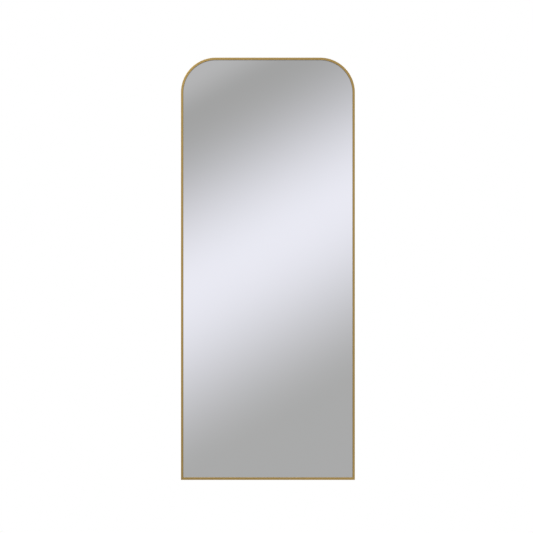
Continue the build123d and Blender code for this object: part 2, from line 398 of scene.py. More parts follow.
@dataclass(frozen=True)
class SheetCoating:
    """A flat coating: mirror-back paint from a curtain coater, or bonded polythene film.

    The paint has long shallow ripples along the line it was poured in. The film has a fine cross
    weave of fibres under a smooth skin.
    """

    name: str
    light: str
    dark: str
    roughness: Span
    ripple_mm: Triple
    bump: Span

    def material(self) -> Material:
        """Makes the coating's material.

        Returns:
            The material.
        """
        canvas = Canvas.open(self.name, IOR=1.5)
        scale = tuple(1 / size for size in self.ripple_mm)
        poured = canvas.add("VectorMath.MULTIPLY", {0: canvas.mm, 1: scale})
        ripple = canvas.add("TexNoise", {"Vector": poured, "Scale": 1.0, "Detail": 2.0})
        colour = canvas.add("Mix.RGBA", {0: ripple, 6: self.dark, 7: self.light})
        return canvas.coat(colour, ripple, ripple, self.roughness, self.bump)


@dataclass(frozen=True)
class Fibreboard:
    """Medium-density fibreboard, hot pressed from wood fibre and sanded.

    It shows a matt tan with short pale and dark fibres lying every way, and slow clouds where
    the mat of fibre was thicker.
    """

    base: str = "#B18F63"
    cloud: str = "#B8976B"
    fibre: str = "#7F6040"
    chip: str = "#D2B890"
    fibre_mm: float = 1.8  # real fibres are 0.3 mm wide, too fine to show
    fibre_share: float = 0.42
    fibre_band: Span = (0.42, 0.30)
    chip_band: Span = (0.60, 0.72)
    lay: Triple = (1.0, 1.0, 0.35)
    curl_mm: float = 25 / 3
    cloud_mm: float = 130.0
    roughness: Span = (0.7, 0.85)
    bump: Span = (0.35, 0.06)

    def material(self) -> Material:
        """Makes the board's material.

        Returns:
            The material.
        """
        canvas = Canvas.open("fibreboard_sanded")
        clouds = {"Scale": 1 / self.cloud_mm, "Detail": 4.0, "Roughness": 0.55}
        cloud = canvas.add("TexNoise", {"Vector": canvas.mm, **clouds})
        tone = canvas.add("MapRange", {"Value": cloud, "From Min": 0.35, "From Max": 0.65})
        colour = canvas.add("Mix.RGBA", {0: tone, 6: self.base, 7: self.cloud})
        curls = {"Scale": 1 / self.curl_mm, "Detail": 2.0, "Distortion": 1.5}
        curl = canvas.add("TexNoise", {"Vector": canvas.mm, **curls})
        lay = canvas.add("VectorMath.MULTIPLY_ADD", {0: canvas.mm, 1: self.lay, 2: curl})
        mat = {"Scale": 1 / self.fibre_mm, "Detail": 3.0, "Roughness": 0.65, "Distortion": 1.2}
        fibres = canvas.add("TexNoise", {"Vector": lay, **mat})
        for shade, ends in ((self.fibre, self.fibre_band), (self.chip, self.chip_band)):
            band = {"From Min": ends[0], "From Max": ends[1], "To Max": self.fibre_share}
            share = canvas.add("MapRange", {"Value": fibres, **band})
            colour = canvas.add("Mix.RGBA", {0: share, 6: colour, 7: shade})
        return canvas.coat(colour, fibres, fibres, self.roughness, self.bump)


@dataclass(frozen=True)
class PlatedSteel:
    """Pressed, drawn or turned steel with a thin plated or heat-blued skin.

    The steel's own lines, left by the roll, the die or the lathe, show through the skin as faint
    streaks, and the skin's brightness drifts over a few centimetres.
    """

    name: str
    light: str
    dark: str
    roughness: Span
    streak_mm: Triple
    cloud_mm: float = 14.0
    bump: Span = (0.3, 0.01)

    def material(self) -> Material:
        """Makes the plating's material.

        Returns:
            The material.
        """
        canvas = Canvas.open(self.name, Metallic=1.0)
        scale = tuple(1 / size for size in self.streak_mm)
        drawn = canvas.add("VectorMath.MULTIPLY", {0: canvas.mm, 1: scale})
        lines = canvas.add(
            "TexNoise", {"Vector": drawn, "Scale": 1.0, "Detail": 3.0, "Roughness": 0.6}
        )
        cloud = canvas.add(
            "TexNoise", {"Vector": canvas.mm, "Scale": 1 / self.cloud_mm, "Detail": 2.0}
        )
        tone = canvas.add("Mix", {"Factor": 0.5, 2: lines, 3: cloud})
        tone = canvas.add("MapRange", {"Value": tone, "From Min": 0.32, "From Max": 0.68})
        colour = canvas.add("Mix.RGBA", {0: tone, 6: self.dark, 7: self.light})
        return canvas.coat(colour, tone, lines, self.roughness, self.bump)


@dataclass(frozen=True)
class Elastomer:
    """Moulded rubber or foamed tape: black, matt, with a fine grain from the mould or the cells.

    A thin grey bloom comes out of the rubber in patches, so it is never an even black.
    """

    name: str
    black: str
    bloom: str
    roughness: Span
    grain_mm: float
    bump: Span
    patch_mm: float = 25 / 3

    def material(self) -> Material:
        """Makes the rubber's material.

        Returns:
            The material.
        """
        canvas = Canvas.open(self.name, IOR=1.5)
        grain = canvas.add("TexVoronoi", {"Vector": canvas.mm, "Scale": 1 / self.grain_mm})
        patch = canvas.add(
            "TexNoise", {"Vector": canvas.mm, "Scale": 1 / self.patch_mm, "Detail": 3.0}
        )
        patch = canvas.add("MapRange", {"Value": patch, "From Min": 0.4, "From Max": 0.7})
        colour = canvas.add("Mix.RGBA", {0: patch, 6: self.black, 7: self.bloom})
        return canvas.coat(colour, grain, grain, self.roughness, self.bump)


MIRROR_PAINT = SheetCoating(
    "mirror_back_paint_poured", "#7C837F", "#6C736F", (0.4, 0.55), (60.0, 60.0, 9.0), (0.5, 0.03)
)
SAFETY_FILM = SheetCoating(
    "polythene_film_woven", "#D3DADB", "#BFC8CA", (0.3, 0.5), (1.5, 1.5, 1.5), (0.5, 0.05)
)
ROLLED_ZINC = PlatedSteel(
    "steel_rolled_zinc_plated", "#D3D6D8", "#B7BCC1", (0.28, 0.42), (20.0, 0.5, 0.5)
)
PRESSED_ZINC = PlatedSteel(
    "steel_pressed_zinc_plated", "#D6D8D6", "#BBBFC0", (0.25, 0.40), (0.5, 0.5, 16.0)
)
NICKEL_WIRE = PlatedSteel(
    "steel_wire_nickel_plated", "#DAD3C6", "#C2BAAB", (0.14, 0.24), (6.0, 0.4, 0.4)
)
SCREW_ZINC = PlatedSteel(
    "steel_screw_zinc_plated", "#C9D0D8", "#A9B2BC", (0.22, 0.36), (0.5, 0.5, 0.5), 4.0
)
BLUED_SPRING = PlatedSteel(
    "spring_steel_blued", "#4A525F", "#2F3540", (0.28, 0.42), (0.4, 0.4, 12.0)
)
BLOCK_RUBBER = Elastomer(
    "rubber_moulded_block", "#1D1E1F", "#343536", (0.6, 0.8), 0.7, (0.5, 0.05)
)
BUMPER_RUBBER = Elastomer(
    "rubber_moulded_bumper", "#232425", "#3B3C3D", (0.5, 0.7), 0.5, (0.5, 0.04)
)
TAPE_FOAM = Elastomer(
    "polythene_foam_tape", "#1B1C1D", "#2A2B2C", (0.85, 0.95), 0.4, (0.5, 0.08)
)


def dress(node: str, material: Material) -> Piece:
    """Puts a finish on a CAD node.

    Args:
        node: The node's name.
        material: The finish.

    Returns:
        The node's object.
    """
    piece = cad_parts[node]
    for slot in piece.material_slots:
        slot.material = material
    return piece


def dress_pairs(material: Material, *names: str) -> list[Piece]:
    """Puts a finish on the left and the right CAD node of each name."""
    return [dress(f"{name}_{side}", material) for name in names for side in SIDES]


def release() -> None:
    """Leaves nothing selected, so that an operator acts only on what is picked next."""
    for other in bpy.context.selected_objects:
        other.select_set(False)


def take(*pieces: Piece) -> None:
    """Selects these pieces alone, and makes the first one active.

    Args:
        *pieces: The pieces.
    """
    release()
    for piece in pieces:
        piece.select_set(True)
    bpy.context.view_layer.objects.active = pieces[0]


@contextmanager
def editing(piece: Piece) -> Iterator[None]:
    """Opens one piece in edit mode with all of it selected, and closes it again.

    Args:
        piece: The piece.
    """
    take(piece)
    bpy.ops.object.mode_set(mode="EDIT")
    bpy.ops.mesh.select_all(action="SELECT")
    try:
        yield
    finally:
        bpy.ops.object.mode_set(mode="OBJECT")


def pick(piece: Piece, kind: str, test: Test) -> None:
    """Selects some of the parts of the piece that is open in edit mode.

    Args:
        piece: The piece.
        kind: EDGE or FACE.
        test: Says whether a part is wanted.
    """
    bpy.ops.mesh.select_mode(type=kind)
    bpy.ops.mesh.select_all(action="DESELECT")
    shape = bmesh.from_edit_mesh(piece.data)
    for part in {"EDGE": shape.edges, "FACE": shape.faces}[kind]:
        if test(part):
            part.select_set(True)
    shape.select_flush_mode()
    bmesh.update_edit_mesh(piece.data)


def all_at(axis: int, place: float) -> Test:
    """Gives a test for the edges that lie at one place on an axis, numbered from X."""
    return lambda edge: all(abs(vertex.co[axis] - place) < NEAR for vertex in edge.verts)


def faces_down(face: Any) -> bool:
    """Says whether a face looks straight down."""
    return face.normal.z < -SQUARE_ON


def extrude(by: Vector | Triple) -> None:
    """Extrudes what is selected in edit mode, and moves the new end."""
    bpy.ops.mesh.extrude_region_move(TRANSFORM_OT_translate={"value": by})


def newest(name: str) -> Piece:
    """Names the primitive that was just added, and its mesh."""
    bpy.context.active_object.name = bpy.context.active_object.data.name = name
    return bpy.context.active_object


def clean(piece: Piece, merge: float) -> None:
    """Merges points that are nearer than merge, and turns the faces outwards.

    Args:
        piece: The piece.
        merge: How near two points are to become one.
    """
    with editing(piece):
        bpy.ops.mesh.remove_doubles(threshold=merge)
        bpy.ops.mesh.normals_make_consistent(inside=False)


def settle(piece: Piece) -> None:
    """Puts a piece's place, turn and scale into its mesh."""
    take(piece)
    bpy.ops.object.transform_apply(location=True, rotation=True, scale=True)


def apply(piece: Piece, kind: str, **settings: Any) -> None:
    """Adds a modifier with its settings and applies it.

    Args:
        piece: The piece.
        kind: The modifier's type.
        **settings: Values of its properties.
    """
    modifier = piece.modifiers.new(kind.lower(), kind)
    for key, value in settings.items():
        setattr(modifier, key, value)
    take(piece)
    bpy.ops.object.modifier_apply(modifier=modifier.name)


def cut_away(piece: Piece, cutter: Piece) -> None:
    """Takes a cutter's shape out of a piece, and the cutter away."""
    apply(piece, "BOOLEAN", object=cutter, operation="DIFFERENCE", solver="EXACT")
    bpy.data.objects.remove(cutter)


def joined(pieces: list[Piece]) -> Piece:
    """Joins several meshes into the first one.

    Args:
        pieces: The meshes.

    Returns:
        The first one, with the rest in it.
    """
    take(*pieces)
    bpy.ops.object.join()
    return pieces[0]


def finished(piece: Piece, smooth_deg: float) -> Piece:
    """Takes a piece from millimetres to metres and smooths its gentle edges, flats kept flat.

    Args:
        piece: The piece.
        smooth_deg: The sharpest turn that is smoothed.

    Returns:
        The piece.
    """
    piece.scale = (MM, MM, MM)
    settle(piece)
    bpy.ops.object.shade_smooth_by_angle(angle=math.radians(smooth_deg))
    apply(piece, "WEIGHTED_NORMAL", keep_sharp=True)
    return piece


def traced(name: str, points: list[Vector]) -> Piece:
    """Draws a closed outline, one point after another.

    Args:
        name: The piece's name.
        points: The outline's points, in millimetres.

    Returns:
        The outline, as edges.
    """
    release()
    bpy.ops.mesh.primitive_plane_add(size=1.0)
    piece = newest(name)
    with editing(piece):
        bpy.ops.mesh.select_mode(type="VERT")
        bpy.ops.mesh.select_all(action="SELECT")
        bpy.ops.mesh.merge(type="CENTER")
        bpy.ops.transform.translate(value=points[0])
        for start, end in zip(points, points[1:] + points[:1], strict=True):
            extrude(end - start)
        bpy.ops.mesh.select_all(action="SELECT")
        bpy.ops.mesh.remove_doubles(threshold=WELD_MM)
    return piece


def turned_bar(name: str, radius: float, top: float, bottom: float, sides: int = 48) -> Piece:
    """Starts a turned piece: a bar on the Z axis.

    Args:
        name: The piece's name.
        radius: The bar's radius.
        top: Height of its upper end.
        bottom: Height of its lower end.
        sides: How many sides stand for the round.

    Returns:
        The bar.
    """
    release()
    middle = (0.0, 0.0, (top + bottom) / 2)
    bpy.ops.mesh.primitive_cylinder_add(
        vertices=sides, radius=radius, depth=top - bottom, location=middle
    )
    piece = newest(name)
    settle(piece)
    return piece


def spread_screws(screw: Piece, node: str, places: list[Seat]) -> list[Piece]:
    """Puts a copy of one finished screw, with a mesh of its own, in each of its places.

    Args:
        screw: The screw, on the Z axis. It is taken away afterwards.
        node: The CAD node that the copies stand for.
        places: Where each copy's origin goes in millimetres, which way it faces, and the turn
            about its own axis at which the driver left it.

    Returns:
        The copies.
    """
    screw.data.materials.clear()
    screw.data.materials.append(SCREW_ZINC.material())
    twins = []
    for count, (place, facing, turn) in enumerate(places, 1):
        twin = screw.copy()
        twin.data = screw.data.copy()
        twin.name = twin.data.name = f"{screw.name}_{count}"
        spot = Matrix.Translation(Vector(place) * MM)
        twin.data.transform(spot @ facing @ Matrix.Rotation(turn, 4, "Z"))
        bpy.context.scene.collection.objects.link(twin)
        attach(twin, "mirror")
        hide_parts(node)
        twins.append(twin)
    bpy.data.objects.remove(screw)
    return twins


class Assembly:
    """A group of the mirror's pieces that are made and dressed together."""

    def build(self) -> list[Piece]:
        """Makes and dresses the group's pieces, and gives them."""
        raise NotImplementedError


@dataclass
class FrameExtrusion(Assembly):
    """The bent hoop and the mitred rail of gold-anodised extrusion, in millimetres.

    The section is a hollow bead in front, a groove for the glass and a hardware channel behind.
    Its points are inset from the frame's outer edge, depth in front of the wall, and the radius
    of the corner there. The hoop's and the rail's left halves are drawn, and mirrored.
    """

    arc_steps: int = 48
    spare: float = 30.0
    outline: tuple[Triple, ...] = (
        (0.0, 28.0, 0.6),
        (9.0, 28.0, 0.6),
        (9.0, 22.4, 0.0),
        (1.5, 22.4, 0.0),
        (1.5, 9.2, 0.0),
        (13.1, 9.2, 0.0),
        (13.1, 3.0, 0.3),
        (9.7, 3.0, 0.0),
        (9.7, 4.4, 0.0),
        (11.9, 4.4, 0.0),
        (11.9, 7.8, 0.0),
        (1.5, 7.8, 0.0),
        (1.5, 4.4, 0.0),
        (3.7, 4.4, 0.0),
        (3.7, 3.0, 0.0),
        (0.0, 3.0, 0.3),
    )
    hollow: tuple[Triple, ...] = (
        (1.5, 23.6, 0.0),
        (7.8, 23.6, 0.0),
        (7.8, 26.5, 0.0),
        (1.5, 26.5, 0.0),
    )
    corner_steps: int = 5
    hole_radius: float = 1.55
    hole_sides: int = 32
    drill_length: float = 3.0
    drill_middle: float = 337.5
    cut_slack: float = 1e-2
    smooth_deg: float = 30.0

    def build(self) -> list[Piece]:
        """Makes the hoop and the rail, each with its brush lines along it.

        Returns:
            The hoop and the rail.
        """
        made = []
        for run, piece in ((Run.HOOP, self.hoop()), (Run.RAIL, self.rail())):
            piece.data.materials.clear()
            piece.data.materials.append(AnodisedAluminium(run).material())
            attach(piece, "mirror")
            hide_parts("frame_hoop" if run is Run.HOOP else "frame_bottom_rail")
            made.append(piece)
        return made

    def rounded(self, loop: tuple[Triple, ...]) -> list[Vector]:
        """Rounds the corners of a loop of the section.

        Args:
            loop: Inset, depth and corner radius of each point.

        Returns:
            The loop's points, as inset and depth.
        """
        corners = [Vector(point[:2]) for point in loop]
        points = []
        for number, (corner, (*_, radius)) in enumerate(zip(corners, loop, strict=True)):
            if not radius:
                points.append(corner)
                continue
            back = (corners[number - 1] - corner).normalized() * radius
            ahead = (corners[(number + 1) % len(corners)] - corner).normalized() * radius
            for step in range(self.corner_steps + 1):
                turn = math.pi / 2 * step / self.corner_steps
                points.append(corner + back * (1 - math.sin(turn)) + ahead * (1 - math.cos(turn)))
        return points

    def section(self, name: str, place: Callable[[Vector], Vector]) -> Piece:
        """Draws both loops of the section.

        Args:
            name: The piece's name.
            place: Turns inset and depth into a place.

        Returns:
            The piece, as two closed outlines.
        """
        loops = (self.outline, self.hollow)
        return joined([traced(name, [place(p) for p in self.rounded(loop)]) for loop in loops])

    def cut_mitre(self, piece: Piece, side: float) -> None:
        """Cuts half a piece at the mitre, and closes the cut round the hollow.

        Args:
            piece: The piece, open in edit mode.
            side: 1 keeps what is above the mitre, and -1 what is below it.
        """
        bpy.ops.mesh.select_all(action="SELECT")
        bpy.ops.mesh.bisect(
            plane_co=(-HALF_WIDTH_MM, 0.0, FOOT_MM),
            plane_no=(-side, 0.0, side),
            clear_inner=True,
        )
        pick(
            piece,
            "EDGE",
            lambda edge: len(edge.link_faces) == 1
            and all(
                abs(v.co.z - FOOT_MM - v.co.x - HALF_WIDTH_MM) < self.cut_slack for v in edge.verts
            ),
        )
        bpy.ops.mesh.fill()

    def mirrored(self, piece: Piece) -> Piece:
        """Mirrors a left half, merges it at the middle and turns its faces outwards.

        Args:
            piece: The half.

        Returns:
            The whole piece.
        """
        sides = (True, False, False)
        apply(piece, "MIRROR", use_axis=sides, use_clip=True, merge_threshold=WELD_MM)
        clean(piece, NEAR)
        return piece

    def hoop(self) -> Piece:
        """Runs the section up the stile, round the corner and along the top, and drills it.

        Returns:
            The hoop.
        """
        arc_x, arc_z = -ARC_CENTRE_MM[0], ARC_CENTRE_MM[1]
        left, low = -HALF_WIDTH_MM, FOOT_MM - self.spare
        piece = self.section("gold_frame_hoop", lambda p: Vector((left + p.x, -p.y, low)))
        with editing(piece):
            extrude((0.0, 0.0, arc_z - low))
            bpy.ops.mesh.spin(
                steps=self.arc_steps,
                angle=-math.pi / 2,
                center=(arc_x, 0.0, arc_z),
                axis=(0.0, 1.0, 0.0),
            )
            extrude((-arc_x, 0.0, 0.0))
            self.cut_mitre(piece, 1.0)
        self.mirrored(piece)
        cut_away(piece, self.drills())
        return finished(piece, self.smooth_deg)

    def drills(self) -> Piece:
        """Sets a drill at each of the hanger screws' holes, and joins them.

        Returns:
            The drills, as one cutter.
        """
        drills = []
        for side in (-1, 1):
            for height in HANGER_SCREW_HEIGHTS_MM:
                release()
                bpy.ops.mesh.primitive_cylinder_add(
                    vertices=self.hole_sides,
                    radius=self.hole_radius,
                    depth=self.drill_length,
                    location=(side * self.drill_middle, CHANNEL_MIDDLE_MM, height),
                    rotation=(0.0, math.pi / 2, 0.0),
                )
                drills.append(newest("drill"))
        return joined(drills)

    def rail(self) -> Piece:
        """Runs the section along the foot and mitres its ends.

        Returns:
            The rail.
        """
        start = -HALF_WIDTH_MM - self.spare
        piece = self.section("gold_frame_rail", lambda p: Vector((start, -p.y, FOOT_MM + p.x)))
        with editing(piece):
            extrude((-start, 0.0, 0.0))
            self.cut_mitre(piece, -1.0)
        return finished(self.mirrored(piece), self.smooth_deg)


@dataclass
class GlassPack(Assembly):
    """The silvered pane and what it lies in: film, board, tapes, blocks and pads."""

    corner_radius: float = 0.136
    corner_steps: int = 40
    arris: float = 0.0005
    merge: float = 1e-6
    smooth_deg: float = 12.0

    def build(self) -> list[Piece]:
        """Makes the pane, and dresses the CAD's pieces behind and round it.

        Returns:
            The pane and the dressed pieces.
        """
        foam, rubber = TAPE_FOAM.material(), BLOCK_RUBBER.material()
        made = [self.pane(), dress("safety_film", SAFETY_FILM.material())]
        made.append(dress("backing_board", Fibreboard().material()))
        made += [dress(f"glazing_tape_{run.value}", foam) for run in Run]
        return made + dress_pairs(rubber, "setting_block", "side_pad_upper", "side_pad_lower")

    def pane(self) -> Piece:
        """Cuts the pane to shape, arrisses its edges and silvers its back.

        Returns:
            The pane.
        """
        low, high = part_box("mirror_glass")
        release()
        bpy.ops.mesh.primitive_cube_add(size=1.0, location=(low + high) / 2, scale=high - low)
        pane = newest("mirror_pane")
        settle(pane)
        at_top = all_at(2, high.z)
        with editing(pane):
            pick(pane, "EDGE", lambda edge: at_top(edge) and self.runs_deep(edge))
            bpy.ops.mesh.bevel(
                offset=self.corner_radius, segments=self.corner_steps, affect="EDGES"
            )
            pick(pane, "EDGE", lambda edge: any(self.way(face) for face in edge.link_faces))
            bpy.ops.mesh.bevel(offset=self.arris, segments=1, affect="EDGES")
        clean(pane, self.merge)
        settle(pane)
        bpy.ops.object.shade_smooth_by_angle(angle=math.radians(self.smooth_deg))
        pane.data.materials.clear()
        for finish in (SilveredGlass(), GroundGlass(), MIRROR_PAINT):
            pane.data.materials.append(finish.material())
        for face in pane.data.polygons:
            face.material_index = {-1: 0, 0: 1, 1: 2}[self.way(face)]
        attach(pane, "mirror")
        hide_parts("mirror_glass")
        return pane

    @staticmethod
    def runs_deep(edge: Any) -> bool:
        """Says whether an edge runs through the pane's thickness."""
        return abs(edge.verts[0].co.y - edge.verts[1].co.y) > NEAR

    @staticmethod
    def way(face: Any) -> int:
        """Says which way a face looks: -1 to the front, 1 to the wall and 0 sideways."""
        return (face.normal.y > SQUARE_ON) - (face.normal.y < -SQUARE_ON)


@dataclass
class SpringClips(Assembly):
    """Bowed leaf springs between the board and the channel's floor."""

    per_stile: int = 5
    per_rail: int = 2

    def build(self) -> list[Piece]:
        """Dresses all the springs.

        Returns:
            The springs.
        """
        steel = BLUED_SPRING.material()
        stile, rail = range(1, self.per_stile + 1), range(1, self.per_rail + 1)
        made = dress_pairs(steel, *(f"stile_spring_{count}" for count in stile))
        return made + [dress(f"{run}_spring_{n}", steel) for run in ("top", "rail") for n in rail]


@dataclass(frozen=True)
class Thread:
    """A rolled screw thread. Its sizes are in millimetres, as are those of all screws here."""

    outer: float
    core: float
    pitch: float
    top: float
    turns: int
    steps: int = 28
    sunk: float = 0.05
    half_base: float = 0.45

    def rolled(self) -> Piece:
        """Winds one tooth down the core and closes its two ends.

        Returns:
            The ridge of the thread, round the Z axis.
        """
        release()
        bpy.ops.mesh.primitive_circle_add(vertices=3, radius=self.pitch / 2, fill_type="NOTHING")
        ridge = newest("thread_ridge")
        base, rise = self.core - self.sunk, self.pitch * self.half_base
        start = self.top - self.pitch * self.turns
        corners = ((base, rise), (self.outer, 0.0), (base, -rise))
        for vertex, (out, up) in zip(ridge.data.vertices, corners, strict=True):
            vertex.co = Vector((out, 0.0, start + up))
        apply(
            ridge,
            "SCREW",
            angle=math.tau,
            screw_offset=self.pitch,
            iterations=self.turns,
            steps=self.steps,
            render_steps=self.steps,
            use_smooth_shade=False,
        )
        with editing(ridge):
            bpy.ops.mesh.fill_holes(sides=3)
            bpy.ops.mesh.normals_make_consistent(inside=False)
        return ridge


@dataclass
class CornerJoints(Assembly):
    """Plates, shims and set screws that lock the mitres at the foot."""

    top: float = 0.0
    bottom: float = -4.0
    chamfer: float = 0.3
    cup: Triple = (0.25, 0.5, -0.35)
    socket: float = 1.15
    socket_deep: float = 1.5
    socket_clear: float = 0.5
    socket_cone: Span = (0.55, 0.3)
    thread: Thread = Thread(outer=2.0, core=1.62, pitch=0.7, top=-0.55, turns=4)
    rear: float = -3.0
    left_at: Span = (0.35, 1.1)
    places: tuple[Span, ...] = (
        (324.3, -1443.3),
        (300.3, -1443.3),
        (343.3, -1424.3),
        (343.3, -1400.3),
    )
    smooth_deg: float = 35.0

    def build(self) -> list[Piece]:
        """Dresses the plates and shims, and makes the eight set screws.

        Returns:
            The plates, the shims and the screws.
        """
        made = dress_pairs(ROLLED_ZINC.material(), "corner_plate", "corner_shim")
        facing_wall = Matrix.Rotation(-math.pi / 2, 4, "X")
        first, step = self.left_at
        places = [
            ((side * x, self.rear, z), facing_wall, first + step * number * side)
            for side in (-1, 1)
            for number, (x, z) in enumerate(self.places)
        ]
        return made + spread_screws(self.set_screw(), "corner_set_screws", places)

    def set_screw(self) -> Piece:
        """Turns a headless screw with a hexagon socket, a cup point and a rolled thread.

        Returns:
            The screw, on the Z axis.
        """
        rim, wall, deep = self.cup
        screw = turned_bar("corner_set_screw", self.thread.core, self.top, self.bottom)
        with editing(screw):
            for height in (self.top, self.bottom):
                pick(screw, "EDGE", all_at(2, height))
                bpy.ops.mesh.bevel(offset=self.chamfer, segments=1, affect="EDGES")
            pick(screw, "FACE", faces_down)
            bpy.ops.mesh.inset(thickness=rim, depth=0.0)
            bpy.ops.mesh.inset(thickness=wall, depth=deep)
        top, bottom = self.top + self.socket_clear, self.top - self.socket_deep
        key = turned_bar("socket_cutter", self.socket, top, bottom, sides=6)
        with editing(key):
            pick(key, "FACE", faces_down)
            narrow, deeper = (self.socket * share for share in self.socket_cone)
            bpy.ops.mesh.inset(thickness=narrow, depth=deeper)
        cut_away(screw, key)
        return finished(joined([screw, self.thread.rolled()]), self.smooth_deg)


@dataclass
class Hangers(Assembly):
    """Brackets on the stiles, with the rings that go over the wall hooks."""

    head: float = 2.8
    head_high: float = 1.8
    dome: float = 1.1
    head_edge: float = 0.12
    point: float = -6.5
    turns_on_point: float = 0.5
    point_share: float = 0.06
    recess: Triple = (3.4, 0.8, 1.1)
    recess_taper: Triple = (0.45, 0.7, 1.0)
    thread: Thread = Thread(outer=1.45, core=1.08, pitch=1.1, top=-0.75, turns=4)
    head_base: float = 335.4
    left_at: Span = (0.5, 0.9)
    smooth_deg: float = 35.0

    def build(self) -> list[Piece]:
        """Dresses the brackets and rings, and makes the four screws.

        Returns:
            The brackets, the rings and the screws.
        """
        made = dress_pairs(PRESSED_ZINC.material(), "hanger_bracket")
        made += dress_pairs(NICKEL_WIRE.material(), "hanger_ring")
        first, step = self.left_at
        places = [
            (
                (side * self.head_base, CHANNEL_MIDDLE_MM, height),
                Matrix.Rotation(-side * math.pi / 2, 4, "Y"),
                first + step * number + side,
            )
            for side in (-1, 1)
            for number, height in enumerate(HANGER_SCREW_HEIGHTS_MM)
        ]
        return made + spread_screws(self.pan_screw(), "hanger_screws", places)

    def pan_screw(self) -> Piece:
        """Forms a pan head with a cross recess on a pointed, threaded shank.

        Returns:
            The screw, on the Z axis.
        """
        shoulder = self.head - self.head_edge - self.thread.core
        shank = self.thread.top - self.thread.pitch * (self.thread.turns - self.turns_on_point)
        screw = turned_bar("hanger_screw", self.head, self.head_high, 0.0)
        with editing(screw):
            pick(screw, "EDGE", all_at(2, self.head_high))
            bpy.ops.mesh.bevel(offset=self.dome, segments=6, affect="EDGES")
            pick(screw, "EDGE", all_at(2, 0.0))
            bpy.ops.mesh.bevel(offset=self.head_edge, segments=2, affect="EDGES")
            pick(screw, "FACE", faces_down)
            bpy.ops.mesh.inset(thickness=shoulder, depth=0.0)
            for down in (shank, self.point - shank):
                extrude((0.0, 0.0, down))
            shrink = (self.point_share, self.point_share, 1.0)
            bpy.ops.transform.resize(value=shrink, center_override=(0.0, 0.0, 0.0))
        for turn in (0.0, math.pi / 2):
            cut_away(screw, self.recess_wing(turn))
        return finished(joined([screw, self.thread.rolled()]), self.smooth_deg)

    def recess_wing(self, turn: float) -> Piece:
        """Makes the cutter of one slot of the cross, which narrows as it goes deeper.

        Args:
            turn: The slot's turn about the screw.

        Returns:
            The cutter.
        """
        length, width, deep = self.recess
        top = (0.0, 0.0, self.head_high)
        release()
        bpy.ops.mesh.primitive_cube_add(size=1.0, location=top, rotation=(0.0, 0.0, turn))
        wing = newest("recess_cutter")
        wing.scale = (length, width, 2 * deep)
        bpy.ops.object.transform_apply(location=False, rotation=False, scale=True)
        with editing(wing):
            pick(wing, "FACE", faces_down)
            bpy.ops.transform.resize(value=self.recess_taper, orient_type="LOCAL")
        return wing


@dataclass
class WallBumpers(Assembly):
    """Rubber discs that keep the frame off the wall."""

    def build(self) -> list[Piece]:
        """Dresses the four discs."""
        return dress_pairs(BUMPER_RUBBER.material(), "wall_bumper_upper", "wall_bumper_lower")


@dataclass(frozen=True)
class Lamp:
    """A square soft box: where it stands, how wide it is and its power."""

    name: str
    place: Triple
    width: float = 3.0
    watts: float = 172.0

    def light(self, target: Vector) -> None:
        """Hangs the lamp so that it faces the target.

        Args:
            target: What the lamp faces.
        """
        data = bpy.data.lights.new(self.name, "AREA")
        data.shape, data.size, data.energy = "SQUARE", self.width, self.watts
        lamp = bpy.data.objects.new(self.name, data)
        lamp.location = self.place
        lamp.rotation_euler = (target - Vector(self.place)).to_track_quat("-Z", "Y").to_euler()
        bpy.context.scene.collection.objects.link(lamp)


